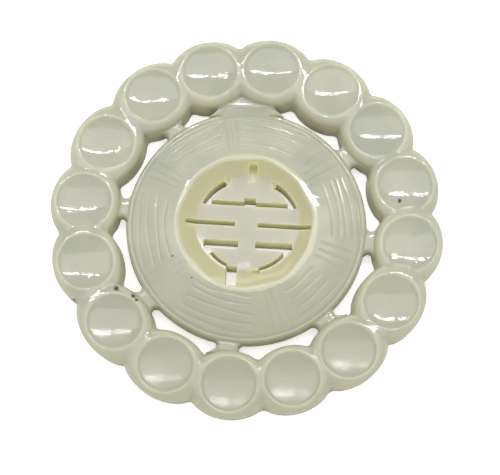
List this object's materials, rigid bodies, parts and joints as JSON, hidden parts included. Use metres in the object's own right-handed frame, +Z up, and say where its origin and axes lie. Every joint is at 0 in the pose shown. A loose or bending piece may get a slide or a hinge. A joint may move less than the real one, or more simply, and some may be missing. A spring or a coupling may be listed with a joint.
{
  "type": "openwork carved roundel",
  "caption": "Openwork jade roundel: a ring of shallow-dished round bosses tied by short bridges to a domed disc with a pierced longevity roundel in its sunken centre.",
  "frame": {"origin": "centre of the ring of bosses, at the level of the surface the carving lies on", "axes": "+Z up out of the carved face; +Y towards the top of the longevity roundel, turned from it by a few degrees; +X to its right"},
  "size_m": [0.0597, 0.0596, 0.0056],
  "materials": {
    "jade": "polished translucent nephrite, pale celadon, warmer in the cut walls"
  },
  "bodies": {
    "root": {"jade_carving": "jade"}
  },
  "joints": []
}
